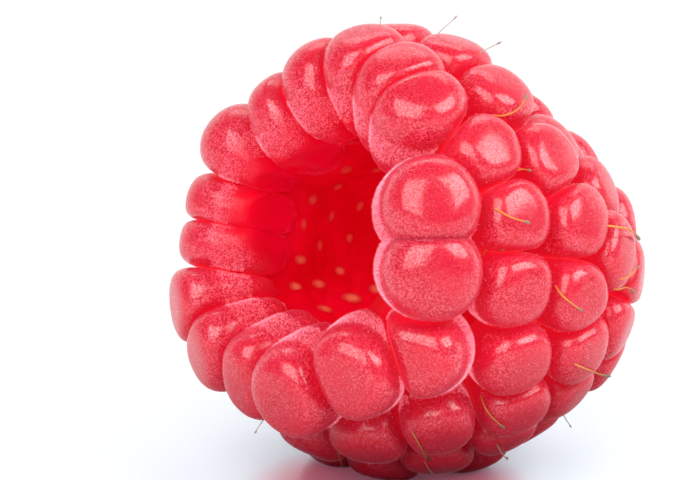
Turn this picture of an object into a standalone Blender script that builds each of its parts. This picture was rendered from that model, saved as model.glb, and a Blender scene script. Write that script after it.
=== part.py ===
import math

import bmesh
import bpy
import numpy as np

# A ripe garden raspberry, picked off its core, so that it is a hollow cup of drupelets.
# It lies on its side on the few drupelets that press flat against the surface.
#
# Places on the berry are given by three numbers.
# The station is how far a point is from the crest of the mouth, along the axis towards the tip.
# The clock is the angle round the axis in degrees, clockwise from the top as seen into the mouth.
# The radius is the distance from the axis.

MM = 0.001
SLOPE_STEP = 0.01 * MM

# The pose: the mouth opens towards -Y and tips up. The origin is on the floor, under the middle of the
# berry's box, and the axis meets the plane of the mouth's crest at the crest point.
TILT = math.radians(15.8)
CREST_X = -0.24 * MM
CREST_Y = -8.45 * MM
CREST_HEIGHT = 13.65 * MM

# The surface on which the drupelets' middles lie, by its radius at the mouth, at its widest and at the tip.
MOUTH_RADIUS = 7.6 * MM
MOUTH_STATION = 2.1 * MM
WIDEST_RADIUS = 9.2 * MM
WIDEST_STATION = 9.4 * MM
TIP_LENGTH = 9.0 * MM

# A drupelet's half sizes: round the berry, along it, and out from it.
DRUPELET = (2.4 * MM, 2.4 * MM, 2.4 * MM)
RIM_DRUPELET = (2.4 * MM, 2.5 * MM, 2.9 * MM)
RIM_LEAN = math.radians(35)
SQUARENESS = 7.0
PRESS = 0.15 * MM
NEIGHBOURS = 9

# The flesh behind the drupelets, and the hollow that the core leaves.
FLESH_DEPTH = 0.7 * MM
LIP_STATION = 2.0 * MM
HOLLOW_RADIUS = 5.3 * MM
HOLLOW_END = 14.2 * MM
HOLLOW_ROUND = 2.4
WALL_STEPS = 28
PROFILE_STEPS = 9

DRUPELET_SIDES = 14
DRUPELET_RINGS = 9
KEPT_FACES = 0.55
LEVEL_WITHIN = 0.03 * MM
SMOOTH_ANGLE = math.radians(40)
CUTTER_SIDE = 40 * MM

# Each drupelet of the side that shows, row by row from the mouth: clock in degrees, station and
# how far it stands out beyond its row, both in millimetres.
RIM_ROW = [
    (6, 2.4, 0), (26, 2.4, 0), (39, 2.4, 0), (70, 1.5, 0), (96, 1.9, 0), (119, 3.5, 0), (136, 1.8, 0),
    (160, 1.2, 0), (186, 1.9, -0.9), (212, 2.0, -0.5), (235, 2.0, -0.4), (256, 2.1, -1.4),
    (274, 2.1, -1.6), (299, 1.9, -1.0), (319, 2.1, -1.6), (342, 2.1, -0.9),
]
SECOND_ROW = [
    (-4, 5.6, -0.2), (16, 6.1, 0), (35, 6.4, 0), (56, 4.3, 0), (74, 5.3, 0), (93, 5.8, 0), (112, 7.3, 0),
    (126, 9.0, 0), (140, 6.3, 0), (158, 5.0, 0), (184, 5.6, 0),
]
THIRD_ROW = [
    (15, 9.8, -1.5), (47, 9.6, -1.1), (57, 7.5, -0.1), (73, 9.0, 0), (92, 9.4, 0), (106, 10.8, 0),
    (121, 12.2, -0.3), (138, 10.2, 0), (156, 9.0, -0.1), (176, 9.0, 0.25), (197, 9.4, 0.45),
]
FOURTH_ROW = [
    (9, 12.8, -1.2), (33, 12.6, -1.8), (59, 12.3, -0.7), (79, 11.6, 0), (84, 13.8, 0), (99, 13.4, 0),
    (113, 14.8, 0), (141, 12.9, -0.5), (165, 12.8, 0.1), (189, 12.8, -0.1),
]

# The rows go on round the far side evenly: first and last clock, how many, station, and how far out.
FAR_SECOND = (206, 334, 7, 5.3, -0.7)
FAR_THIRD = (219, 354, 7, 9.1, -0.4)
FAR_FOURTH = (213, 344, 6, 12.8, -0.2)
FIFTH_ROW = (20, 340, 9, 15.9, 0.0)
SIXTH_ROW = (50, 338, 5, 17.7, 0.0)
TIP = (0, 18.35, 0.0)
UNEVEN_CLOCK = 2.5
UNEVEN_STATION = 0.3
SEED = 5


def clear_scene():
    for item in list(bpy.data.objects):
        bpy.data.objects.remove(item, do_unlink=True)


def row_radius(station):
    """The radius of the surface of middles: a shallow parabola to the mouth and an ellipse to the tip."""
    narrowing = (WIDEST_RADIUS - MOUTH_RADIUS) / (WIDEST_STATION - MOUTH_STATION) ** 2
    past = np.clip((station - WIDEST_STATION) / TIP_LENGTH, 0, 1)
    mouth_side = WIDEST_RADIUS - narrowing * (station - WIDEST_STATION) ** 2
    return np.where(station > WIDEST_STATION, WIDEST_RADIUS * np.sqrt(1 - past**2), mouth_side)


def row_slope(station):
    return (row_radius(station + SLOPE_STEP) - row_radius(station - SLOPE_STEP)) / (2 * SLOPE_STEP)


TOWARDS_MOUTH = np.array([0, -math.cos(TILT), math.sin(TILT)])
UP_ACROSS = np.array([0, math.sin(TILT), math.cos(TILT)])
SIDEWAYS = np.array([1.0, 0, 0])
CREST = np.array([CREST_X, CREST_Y, CREST_HEIGHT])


def far_side(first, last, count, station, out, random):
    """A row's drupelets on the side that doesn't show, evenly spaced but for a small seeded shift."""
    clocks = np.linspace(first, last, count) + random.uniform(-UNEVEN_CLOCK, UNEVEN_CLOCK, count)
    stations = station + random.uniform(-UNEVEN_STATION, UNEVEN_STATION, count)
    return [(clock, place, out) for clock, place in zip(clocks, stations)]


def all_places():
    """Every drupelet as clock, station, how far out, and whether it is on the rim."""
    random = np.random.default_rng(SEED)
    rest = SECOND_ROW + far_side(*FAR_SECOND, random)
    rest += THIRD_ROW + far_side(*FAR_THIRD, random)
    rest += FOURTH_ROW + far_side(*FAR_FOURTH, random)
    rest += far_side(*FIFTH_ROW, random) + far_side(*SIXTH_ROW, random) + [TIP]
    return [(*place, True) for place in RIM_ROW] + [(*place, False) for place in rest]


def drupelet_frames(places):
    """Middles, half sizes and own axes (round, along, out) of all the drupelets."""
    clock, station, out, rim = np.array(places, float).T
    clock = np.radians(clock)
    station = station * MM
    slope = np.where(rim > 0, math.tan(RIM_LEAN), row_slope(station))
    radial = np.cos(clock)[:, None] * UP_ACROSS + np.sin(clock)[:, None] * SIDEWAYS
    around = -np.sin(clock)[:, None] * UP_ACROSS + np.cos(clock)[:, None] * SIDEWAYS
    along = -TOWARDS_MOUTH + slope[:, None] * radial
    along /= np.linalg.norm(along, axis=1)[:, None]
    outward = np.cross(around, along)
    outward *= np.sign((outward * radial).sum(1))[:, None]
    middles = CREST + (row_radius(station) + out * MM)[:, None] * radial - station[:, None] * TOWARDS_MOUTH
    sizes = np.where(rim[:, None] > 0, RIM_DRUPELET, DRUPELET)
    return middles, sizes, np.stack([around, along, outward], 1)


def pillow_points(index, directions, middles, sizes, axes):
    """Where each direction from a drupelet's middle meets its skin.

    The skin is an ellipsoid that flattens towards the plane halfway to each neighbour: one over the
    distance, to the power of squareness, is the sum of that for the ellipsoid and for each plane,
    which it passes by the press.
    """
    own, frame = middles[index], axes[index]
    turned = directions @ frame
    total = np.linalg.norm(directions / sizes[index], axis=1) ** SQUARENESS
    gaps = np.linalg.norm(middles - own, axis=1)
    for other in np.argsort(gaps)[1 : NEIGHBOURS + 1]:
        towards = (middles[other] - own) / gaps[other]
        own_reach = 1 / np.linalg.norm((frame @ towards) / sizes[index])
        other_reach = 1 / np.linalg.norm((axes[other] @ towards) / sizes[other])
        plane = gaps[other] * own_reach / (own_reach + other_reach) + PRESS
        total += np.clip(turned @ towards / plane, 0, None) ** SQUARENESS
    return own + turned * total[:, None] ** (-1 / SQUARENESS)


def add_object(name, mesh, collection):
    item = bpy.data.objects.new(name, mesh)
    collection.objects.link(item)
    return item


def add_drupelets(collection):
    """One sphere for each drupelet, its pole outwards, shaped into a pillow."""
    middles, sizes, axes = drupelet_frames(all_places())
    for index in range(len(middles)):
        shape = bmesh.new()
        bmesh.ops.create_uvsphere(shape, u_segments=DRUPELET_SIDES, v_segments=DRUPELET_RINGS, radius=1)
        directions = np.array([vertex.co.normalized() for vertex in shape.verts])
        for vertex, point in zip(shape.verts, pillow_points(index, directions, middles, sizes, axes)):
            vertex.co = point
        bmesh.ops.recalc_face_normals(shape, faces=shape.faces)
        mesh = bpy.data.meshes.new(f"drupelet_{index:02d}")
        shape.to_mesh(mesh)
        shape.free()
        add_object(mesh.name, mesh, collection)


def flesh_profile():
    """Half section of the flesh: up the hollow from its end, over the lip, and down the outside."""
    turn = np.linspace(0, 1, PROFILE_STEPS)
    inner_station = HOLLOW_END - (HOLLOW_END - LIP_STATION) * turn
    inner_radius = HOLLOW_RADIUS * (1 - (1 - turn) ** HOLLOW_ROUND) ** (1 / HOLLOW_ROUND)
    last = WIDEST_STATION + TIP_LENGTH
    outer_station = LIP_STATION + (last - LIP_STATION) * np.sin(turn * math.pi / 2)
    outer_radius = np.clip(row_radius(outer_station) - FLESH_DEPTH, 0, None)
    inner = [(radius, 0, -station) for radius, station in zip(inner_radius, inner_station)]
    outer = [(radius, 0, -station) for radius, station in zip(outer_radius, outer_station)]
    outer[-1] = (0, 0, -(last - FLESH_DEPTH))
    return inner + outer


def add_flesh(collection):
    points = flesh_profile()
    mesh = bpy.data.meshes.new("flesh")
    mesh.from_pydata(points, [(i, i + 1) for i in range(len(points) - 1)], [])
    flesh = add_object("flesh", mesh, collection)
    flesh.location = CREST
    flesh.rotation_euler = (math.pi / 2 - TILT, 0, 0)
    screw = flesh.modifiers.new("turn", "SCREW")
    screw.axis = "Z"
    screw.steps = screw.render_steps = WALL_STEPS
    screw.use_merge_vertices = True
    screw.merge_threshold = 0.00001
    return flesh


def applied(item, name, collection):
    """The item's evaluated mesh as a new object in world space, with the item removed."""
    evaluated = item.evaluated_get(bpy.context.evaluated_depsgraph_get())
    mesh = bpy.data.meshes.new_from_object(evaluated)
    mesh.transform(item.matrix_world)
    mesh.name = name
    bpy.data.objects.remove(item, do_unlink=True)
    return add_object(name, mesh, collection)


def add_floor_cutter(collection):
    """A block under the floor, wider than the berry, that cuts the flat spots."""
    bpy.ops.mesh.primitive_cube_add(size=CUTTER_SIDE, location=(0, 0, -CUTTER_SIDE / 2))
    cutter = bpy.context.object
    cutter.name = "floor_cutter"
    for owner in list(cutter.users_collection):
        owner.objects.unlink(cutter)
    collection.objects.link(cutter)
    cutter.hide_render = True
    cutter.display_type = "WIRE"
    return cutter


def make_triangles(mesh):
    shape = bmesh.new()
    shape.from_mesh(mesh)
    bmesh.ops.triangulate(shape, faces=shape.faces)
    shape.to_mesh(mesh)
    shape.free()


def level_rest_spots(mesh):
    """Puts the corners of the flat spots exactly on the floor, from which thinning can lift them a hair."""
    for vertex in mesh.vertices:
        if vertex.co.z < LEVEL_WITHIN:
            vertex.co.z = 0


def red_flesh_material():
    material = bpy.data.materials.new("ripe_red")
    material.use_nodes = True
    shader = material.node_tree.nodes["Principled BSDF"]
    shader.inputs["Base Color"].default_value = (0.72, 0.035, 0.06, 1)
    shader.inputs["Roughness"].default_value = 0.42
    shader.inputs["Metallic"].default_value = 0
    return material


def main():
    clear_scene()
    parts = bpy.data.collections.new("raspberry")
    cutters = bpy.data.collections.new("cutters")
    repeats = bpy.data.collections.new("drupelets")
    for collection in (parts, cutters, repeats):
        bpy.context.scene.collection.children.link(collection)
    cutters.hide_render = True

    add_drupelets(repeats)
    flesh = add_flesh(parts)
    union = flesh.modifiers.new("join the drupelets", "BOOLEAN")
    union.operation = "UNION"
    union.operand_type = "COLLECTION"
    union.collection = repeats
    berry = applied(flesh, "berry", parts)
    for item in list(repeats.objects):
        bpy.data.objects.remove(item, do_unlink=True)
    bpy.data.collections.remove(repeats)

    flat = berry.modifiers.new("rest spots", "BOOLEAN")
    flat.operation = "DIFFERENCE"
    flat.object = add_floor_cutter(cutters)
    berry = applied(berry, "berry", parts)
    make_triangles(berry.data)
    thin = berry.modifiers.new("fewer slivers", "DECIMATE")
    thin.ratio = KEPT_FACES
    berry = applied(berry, "berry", parts)
    level_rest_spots(berry.data)

    berry.data.materials.append(red_flesh_material())
    berry.data.shade_smooth()
    berry.data.set_sharp_from_angle(angle=SMOOTH_ANGLE)


main()
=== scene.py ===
import math

import bpy
import numpy as np
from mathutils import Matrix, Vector
from mathutils.bvhtree import BVHTree


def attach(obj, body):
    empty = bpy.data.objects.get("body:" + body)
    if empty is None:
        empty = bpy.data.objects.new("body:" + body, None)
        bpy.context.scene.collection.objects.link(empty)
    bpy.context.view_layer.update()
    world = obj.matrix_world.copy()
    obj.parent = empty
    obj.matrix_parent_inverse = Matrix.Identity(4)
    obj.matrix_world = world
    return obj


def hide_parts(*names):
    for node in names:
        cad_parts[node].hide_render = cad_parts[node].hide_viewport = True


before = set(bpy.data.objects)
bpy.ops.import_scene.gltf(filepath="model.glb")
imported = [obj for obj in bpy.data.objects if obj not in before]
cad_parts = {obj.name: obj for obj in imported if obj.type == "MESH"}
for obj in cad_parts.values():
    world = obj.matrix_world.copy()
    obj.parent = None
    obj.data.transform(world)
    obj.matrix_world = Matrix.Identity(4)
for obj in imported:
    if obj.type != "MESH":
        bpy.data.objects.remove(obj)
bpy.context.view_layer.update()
mm = 0.001  # every length below is in millimetres until it goes into a mesh or a light

# The pose and the rows of drupelets, as in the solid. A place is a clock angle in degrees, a station
# along the axis from the mouth's crest, and how far it stands out of its row.
berry = {
    "tilt": math.radians(15.8),
    "crest": (-0.24, -8.45, 13.65),
    "mouthRadius": 7.6,
    "mouthStation": 2.1,
    "widestRadius": 9.2,
    "widestStation": 9.4,
    "tipLength": 9.0,
    "drupelet": (2.4, 2.4, 2.4),
    "rimDrupelet": (2.4, 2.5, 2.9),
    "rimLean": math.radians(35),
    "lowRimLean": math.radians(60),  # the lower fronts face the mouth more than the solid's
    "lowRimClocks": (110, 240),
    "unevenClock": 2.5,
    "unevenStation": 0.3,
    "seed": 5,
}
# The drupelets that show in the photo, row by row.
nearRows = {
    "rim": [
        (8, 2.4, -0.05), (26, 2.4, 0), (39, 2.4, 0), (73, 1.6, 0.15), (93.5, 2.0, 0.15), (119, 3.5, 0),
        (136, 1.8, 0), (160, 1.2, 0), (186, 1.9, -0.9), (212, 2.0, -0.5), (233, 2.0, -0.45),
        (256, 2.1, -1.5), (274, 2.1, -1.6), (300, 1.9, -1.1), (329, 2.1, -1.7), (351, 2.1, -0.75),
    ],
    "second": [
        (-4, 5.6, 0.05), (16, 6.1, -0.05), (35, 6.4, -0.1), (56, 4.3, 0), (74, 5.3, 0), (93, 5.8, 0),
        (112, 7.3, 0), (126, 9.0, 0), (140, 6.3, 0), (158, 5.0, 0), (184, 5.6, 0),
    ],
    "third": [
        (15, 9.8, -1.5), (47, 9.6, -1.25), (57, 7.5, -0.1), (73, 9.0, 0), (92, 9.4, 0), (106, 10.8, 0),
        (121, 12.2, -0.3), (138, 10.2, -0.25), (156, 9.0, -0.1), (176, 9.0, 0.2), (197, 9.4, 0.8),
    ],
    "fourth": [
        (9, 12.8, -1.45), (33, 12.6, -1.9), (59, 12.3, -1.0), (79, 11.6, 0), (84, 13.8, 0), (99, 13.4, 0),
        (113, 14.8, 0), (141, 12.9, -0.5), (165, 12.8, 0.1), (189, 12.8, -0.1),
    ],
}
# First and last clock, how many, station and how far out, for the drupelets round the far side.
farRows = {
    "second": (206, 334, 7, 5.3, -0.7),
    "third": (219, 354, 7, 9.1, -0.4),
    "fourth": (213, 344, 6, 12.8, -0.2),
    "fifth": (20, 340, 9, 15.9, -0.4),
    "sixth": (50, 338, 5, 17.7, 0.0),
}
tipPlace = (0, 18.35, 0.0)

towardsMouth = np.array([0, -math.cos(berry["tilt"]), math.sin(berry["tilt"])])
upAcross = np.array([0, math.sin(berry["tilt"]), math.cos(berry["tilt"])])
sideways = np.array([1.0, 0, 0])
crest = np.array(berry["crest"])


def smooth(share):
    share = np.clip(share, 0, 1)
    return share**2 * (3 - 2 * share)


# Radius of the surface of middles: a parabola in the station to the mouth, an ellipse to the tip.
def rowRadius(station):
    widest, start = berry["widestRadius"], berry["widestStation"]
    narrowing = (widest - berry["mouthRadius"]) / (start - berry["mouthStation"]) ** 2
    past = np.clip((station - start) / berry["tipLength"], 0, 1)
    ellipse = widest * np.sqrt(1 - past**2)
    return np.where(station > start, ellipse, widest - narrowing * (station - start) ** 2)


def rowSlope(station, step=0.01):
    return (rowRadius(station + step) - rowRadius(station - step)) / (2 * step)


# A stretch of a row, evenly spaced and then moved a little at random.
def farSide(first, last, count, station, out, random):
    turned, moved = berry["unevenClock"], berry["unevenStation"]
    clocks = np.linspace(first, last, count) + random.uniform(-turned, turned, count)
    stations = station + random.uniform(-moved, moved, count)
    return [(clock, place, out) for clock, place in zip(clocks, stations)]


# Angles evenly round a full turn.
def evenTurns(count):
    return np.arange(count) * 2 * math.pi / count


def unit(vectors):
    return vectors / np.linalg.norm(vectors, axis=-1, keepdims=True)


# Axis directions at a clock angle: away from the axis, and round it.
def radialAt(clock):
    return np.cos(clock)[..., None] * upAcross + np.sin(clock)[..., None] * sideways


def aroundAt(clock):
    return -np.sin(clock)[..., None] * upAcross + np.cos(clock)[..., None] * sideways


def placeAt(clock, station, radius):
    return crest + radius[..., None] * radialAt(clock) - station[..., None] * towardsMouth


random = np.random.default_rng(berry["seed"])
rows = dict(nearRows)
for name, far in farRows.items():
    rows[name] = rows.get(name, []) + farSide(*far, random)
rows["sixth"].append(tipPlace)
rowOf = np.repeat(list(rows), [len(row) for row in rows.values()])
onRim = rowOf == "rim"
clockOf, stationOf, outOf = np.concatenate(list(rows.values())).T
lowFrom, lowTo = berry["lowRimClocks"]
lowRim = onRim & (clockOf > lowFrom) & (clockOf < lowTo)
clockOf = np.radians(clockOf)
slope = np.where(onRim, math.tan(berry["rimLean"]), rowSlope(stationOf))
slope[lowRim] = math.tan(berry["lowRimLean"])
alongOf = unit(-towardsMouth + slope[:, None] * radialAt(clockOf))
outwardOf = np.cross(aroundAt(clockOf), alongOf)
axes = np.stack([aroundAt(clockOf), alongOf, outwardOf], 1)
middles = placeAt(clockOf, stationOf, rowRadius(stationOf) + outOf)
sizes = np.where(onRim[:, None], berry["rimDrupelet"], berry["drupelet"])
print("drupelets placed:", len(middles))


# How a drupelet's skin is shaped.
pillow = {
    "squareness": 5.5,
    "squarer": {3: 8.5, 4: 8.5, 2: 6.5, 5: 6.5},  # some of the rim's
    # Flatness, where 2 is round, and a share that keeps the shoulders about where the solid's are.
    "front": (3.0, 0.95),
    "farRimIn": 0.3,  # a rim drupelet that stands further in than this is a far one
    "farRimFront": (2.2, 0.985),
    "lowRimFront": (4.0, 0.93),
    "meetingFrom": 0.86,  # share of the way to a neighbour's plane where a crease's deep red and painted glow start
    "neighbours": 9,
    "press": 0.06,  # past the plane halfway to each neighbour
    "closePairs": {(3, 4): 0.34, (1, 2): 0.12, (0, 1): 0.12, (10, 11): 0.1, (11, 12): 0.1},  # more press
    "shallowPair": (3, 4),  # a crease with less of that deep red and painted glow
    "shallowRed": 0.7,
    "fuller": 1.06,  # how much wider those two are round the mouth before they press each other flat
    "lumps": 0.012,  # share of the reach
    "lumpWaves": 3,
    "lumpFineness": 2.2,
    "turns": 48,
    "falls": 28,
    "evenness": 0.72,  # 1 spaces the rings evenly, less puts more of them on the outer side
}
apart = np.linalg.norm(middles[:, None] - middles[None], axis=2)
nearest = np.argsort(apart, axis=1)[:, 1 : pillow["neighbours"] + 1]
which = np.arange(len(middles))[:, None]
towards = unit(middles[nearest] - middles[:, None])
inOwn = np.einsum("knj,kij->kni", towards, axes) / sizes[:, None]
inOther = np.einsum("knj,knij->kni", towards, axes[nearest]) / sizes[nearest]
ownReach, otherReach = 1 / np.linalg.norm(inOwn, axis=2), 1 / np.linalg.norm(inOther, axis=2)
halfway = apart[which, nearest] * ownReach / (ownReach + otherReach)


# A number for each drupelet and neighbour: the usual one, or a pair's own.
def pairValues(usual, pairs):
    values = np.full(nearest.shape, usual)
    for pair, value in pairs.items():
        for one, other in (pair, pair[::-1]):
            values[one, nearest[one] == other] = value
    return values


press = pairValues(pillow["press"], pillow["closePairs"])
redness = pairValues(1.0, {pillow["shallowPair"]: pillow["shallowRed"]})
farRim = onRim & (outOf < -pillow["farRimIn"])
front = np.where(farRim[:, None], pillow["farRimFront"], pillow["front"])
front[lowRim] = pillow["lowRimFront"]
flatness, drawIn = front.T
squareness = np.full(len(middles), pillow["squareness"])
squareness[list(pillow["squarer"])] = list(pillow["squarer"].values())
halfSizes = sizes * drawIn[:, None]
halfSizes[list(pillow["shallowPair"]), 0] *= pillow["fuller"]
waves = random.normal(0, pillow["lumpFineness"], (len(middles), pillow["lumpWaves"], 3))
phases = random.uniform(0, 2 * math.pi, (len(middles), pillow["lumpWaves"]))


# The skin of drupelet k in a direction d from its middle is at r, where (1/r)^p is the sum of
# (size of d over the half sizes)^p and, for each neighbour, (d along it / the plane's distance)^p.
# The size of d is (flat^q + out^q)^(1/q), flat along the skin and out away from the axis.
# Low waves then swell it slightly. Also gives the outward normal, the gradient of that sum, and how
# deep in a crease the skin is, from 0 to 1: the share of the sum that comes from the neighbours, or
# how near the skin is to a neighbour's plane, whichever is more.
def skinAt(k, local):
    power, front = squareness[k][:, None], flatness[k][:, None]
    turned = np.einsum("kpi,kij->kpj", local, axes[k])
    half = halfSizes[k][:, None]
    stretched = local / half
    flat, out = np.linalg.norm(stretched[..., :2], axis=2), np.abs(stretched[..., 2])
    size = (flat**front + out**front) ** (1 / front)
    total = size**power
    pull = np.stack([flat, flat, out], -1) ** (front[..., None] - 2) * stretched / half
    gradient = np.einsum("kpi,kij->kpj", (size ** (power - front))[..., None] * pull, axes[k])
    pressed, nearPlane, creased = np.zeros_like(total), np.zeros_like(total), np.zeros_like(total)
    for n in range(pillow["neighbours"]):
        reach = (halfway + press)[k, n][:, None]
        facing = np.clip(np.einsum("kpj,kj->kp", turned, towards[k, n]), 0, None)
        along = facing / reach
        nearPlane = np.maximum(nearPlane, facing / halfway[k, n][:, None] * redness[k, n][:, None])
        pressed += along**power
        creased += along**power * redness[k, n][:, None]
        gradient += (along ** (power - 1) / reach)[..., None] * towards[k, n][:, None]
    total += pressed
    lumps = np.sin(np.einsum("kpi,kwi->kpw", local, waves[k]) + phases[k][:, None]).mean(2)
    reach = total ** (-1 / power) * (1 + pillow["lumps"] * lumps)
    meeting = smooth((nearPlane * reach - pillow["meetingFrom"]) / (1 - pillow["meetingFrom"]))
    crease = np.maximum(creased / total, meeting)
    return middles[k][:, None] + turned * reach[..., None], unit(gradient), crease


# Faces of bodies that are each a pole, a stack of rings and a pole, with their vertices in that
# order. They point out where the rings turn anticlockwise as seen from outside the first pole.
def ringFaces(bodies, rings, turns):
    turn = np.arange(turns)
    after = (turn + 1) % turns
    here = 1 + np.arange(rings - 1)[:, None] * turns
    below, last, pole = here + turns, 1 + (rings - 1) * turns, rings * turns + 1
    quads = np.stack([here + turn, below + turn, below + after, here + after], -1).reshape(-1, 4)
    caps = np.concatenate([
        np.stack([0 * turn, 1 + turn, 1 + after], -1),
        np.stack([last + turn, 0 * turn + pole, last + after], -1),
    ])
    shift = (np.arange(bodies) * (rings * turns + 2))[:, None, None]
    return (quads + shift).reshape(-1, 4), (caps + shift).reshape(-1, 3)


# A mesh object: points in millimetres, four-sided and three-sided faces, and numbers kept at the
# points for the material.
def addPiece(name, points, quads, triangles, values=None):
    points = (np.asarray(points, float).reshape(-1, 3) * mm).astype(np.float32)
    mesh = bpy.data.meshes.new(name)
    corners = np.concatenate([quads.ravel(), triangles.ravel()]).astype(np.int32)
    starts = np.append(np.arange(len(quads)) * 4, len(quads) * 4 + np.arange(len(triangles)) * 3)
    for part, key, value in ((mesh.vertices, "co", points), (mesh.loops, "vertex_index", corners),
                             (mesh.polygons, "loop_start", starts.astype(np.int32))):
        part.add(len(value))
        part.foreach_set(key, value.ravel())
    for key, value in (values or {}).items():
        kept = mesh.attributes.new(key, "FLOAT", "POINT")
        kept.data.foreach_set("value", value.ravel().astype(np.float32))
    mesh.update(calc_edges=True)
    mesh.shade_smooth()
    piece = bpy.data.objects.new(name, mesh)
    bpy.context.scene.collection.objects.link(piece)
    return piece


# What a piece rides on, the solid's part that it stands for, which is hidden, and its material.
def dress(piece, material):
    piece.data.materials.append(material)
    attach(piece, "root")
    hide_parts("berry")
    print(piece.name, "faces:", len(piece.data.polygons))
    return piece


# A number or colour in a material: a socket whose operators each add a Math node.
class Field:
    def __init__(self, tree, socket=None):
        self.tree, self.socket = tree, socket

    # Any node: its type, its settings, then the values or links of its sockets.
    def node(self, kind, settings=None, inputs=None, out=0):
        made = self.tree.nodes.new("ShaderNode" + kind)
        for key, value in (settings or {}).items():
            setattr(made, key, value)
        for key, value in (inputs or {}).items():
            if isinstance(value, Field):
                self.tree.links.new(value.socket, made.inputs[key])
            else:
                made.inputs[key].default_value = value
        return Field(self.tree, made.outputs[out])

    def math(self, operation, *values):
        return self.node("Math", {"operation": operation}, dict(enumerate(values)))

    def __add__(self, other):
        return self.math("ADD", self, other)

    def __mul__(self, other):
        return self.math("MULTIPLY", self, other)

    def __sub__(self, other):
        return self.math("SUBTRACT", self, other)

    def __rsub__(self, other):
        return self.math("SUBTRACT", other, self)

    __radd__, __rmul__ = __add__, __mul__

    # From 0 at low to 1 at high, smoothly.
    def ramp(self, low, high):
        inputs = {"Value": self, "From Min": low, "From Max": high}
        return self.node("MapRange", {"interpolation_type": "SMOOTHSTEP"}, inputs)

    # As this mask goes from 0 to 1, one colour turns into the other.
    def between(self, low, high):
        low, high = (value if isinstance(value, Field) else (*value, 1) for value in (low, high))
        return self.node("Mix", {"data_type": "RGBA"}, {0: self, 6: low, 7: high}, out=2)

    # One number of three: 0 is x, 1 is y, 2 is z.
    def axis(self, number):
        return self.node("SeparateXYZ", None, {0: self}, out=number)

    # How far up a place is: 0 at the first height or lower, 1 at the second or higher.
    def climb(self, low, high):
        return self.axis(2).ramp(low * mm, high * mm)

    # A number from this vector and another one.
    def vector(self, operation, other=(0, 0, 0)):
        return self.node("VectorMath", {"operation": operation}, {0: self, 1: tuple(other)}, out=1)

    def noise(self, size):
        return self.node("TexNoise", None, {"Vector": self, "Scale": 1 / (size * mm)})

    # One random value for each small cell.
    def cells(self, size):
        colour = self.node("TexVoronoi", None, {"Vector": self, "Scale": 1 / (size * mm)}, out=1)
        return self.node("SeparateColor", None, {0: colour})

    # A number that is kept at the mesh's points.
    def kept(self, name):
        return self.node("Attribute", {"attribute_name": name}, out=2)

    # The normal of a surface whose height goes with this field.
    def bump(self, strength, depth):
        inputs = {"Height": self, "Strength": strength, "Distance": depth * mm}
        return self.node("Bump", None, inputs)


# Links fields to a shader's sockets.
def feed(shader, **fields):
    for key, field in fields.items():
        field.tree.links.new(field.socket, shader.inputs[key.replace("_", " ")])


# A new material's Principled shader with its constants set, and a field to start its nodes from.
def newMaterial(name, **constants):
    material = bpy.data.materials.new(name)
    material.use_nodes = True
    shader = material.node_tree.nodes["Principled BSDF"]
    for key, value in constants.items():
        shader.inputs[key.replace("_", " ")].default_value = value
    return material, shader, Field(material.node_tree)


# The flesh that holds the drupelets, with the hollow's wall.
flesh = {
    "depth": 0.7,
    "lipStation": 2.0,
    "lipFade": 5.0,  # how far in the lip's uneven station evens out
    "hollowRadius": 5.3,
    "hollowEnd": 14.2,
    "hollowRound": 2.4,
    "outerRound": 1.2,
    "turns": 200,
    "innerSteps": 90,
    "outerSteps": 40,
    "settling": 6,  # the uneven wall sets in over this part, one sixth, of the inner steps
    "cellRelief": 0.10,
    "creaseWidth": 0.30,
    "cellBend": 0.9,  # spreads the cells slightly towards the hollow's end
    "rimCell": 4.2,  # from a rim drupelet's middle to its cell, along the axis
    "firstCell": 5.5,  # least station of the others' cells
    "narrowFrom": 3.5,  # stations between which the mouth's uneven rim fades from the wall
    "narrowTo": 10.0,
    "endFade": 2.5,  # before the hollow's end, over which that uneven shape fades too
    "lipHide": 0.5,  # how far it draws back under the rim's crest, and over what length
    "hideLength": 1.2,
    "ribLength": 3.3,  # over which a rim drupelet's inner end sinks to the wall
    "endSink": 0.35,
    "redLength": 2.6,  # over which its skin turns to the hollow's red
    "redPast": 1.6,  # how far in from the wall's radius that red ends, and over what it fades
    "redFade": 1.2,
}
# Stations round the mouth, by the clock in degrees: where a rim drupelet's skin is half red, where
# its end has sunk into the wall, and where the flesh between the drupelets starts.
ribEnds = [
    (30, 1.8, 4.9, 2.0), (120, 1.8, 4.9, 2.0), (180, 3.2, 5.4, 1.6), (235, 2.8, 5.0, 1.3),
    (254, 0.7, 3.0, 0.9), (276, 0.0, 2.5, 0.6), (300, 0.4, 2.6, 0.5), (325, 0.7, 2.5, 0.5),
    (349, 1.1, 3.2, 0.9), (4, 1.6, 4.6, 1.8),
]


# One column of that list at each clock, by straight steps.
def ribEndAt(clock, column):
    ends = np.array(ribEnds)
    return np.interp(np.degrees(clock), ends[:, 0], ends[:, column], period=360)


# The flesh's stations near the mouth, moved so that its lip starts where that list says.
def unevenLip(clock, station):
    fade = smooth((flesh["lipStation"] + flesh["lipFade"] - station) / flesh["lipFade"])
    return station + (ribEndAt(clock, 3) - flesh["lipStation"]) * fade


# Radius of the hollow's wall at a station: a rounded end, by a superellipse in the station.
def hollowRadiusAt(station):
    share = np.clip((flesh["hollowEnd"] - station) / (flesh["hollowEnd"] - flesh["lipStation"]), 0, 1)
    power = flesh["hollowRound"]
    return flesh["hollowRadius"] * (1 - (1 - share) ** power) ** (1 / power)


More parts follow.
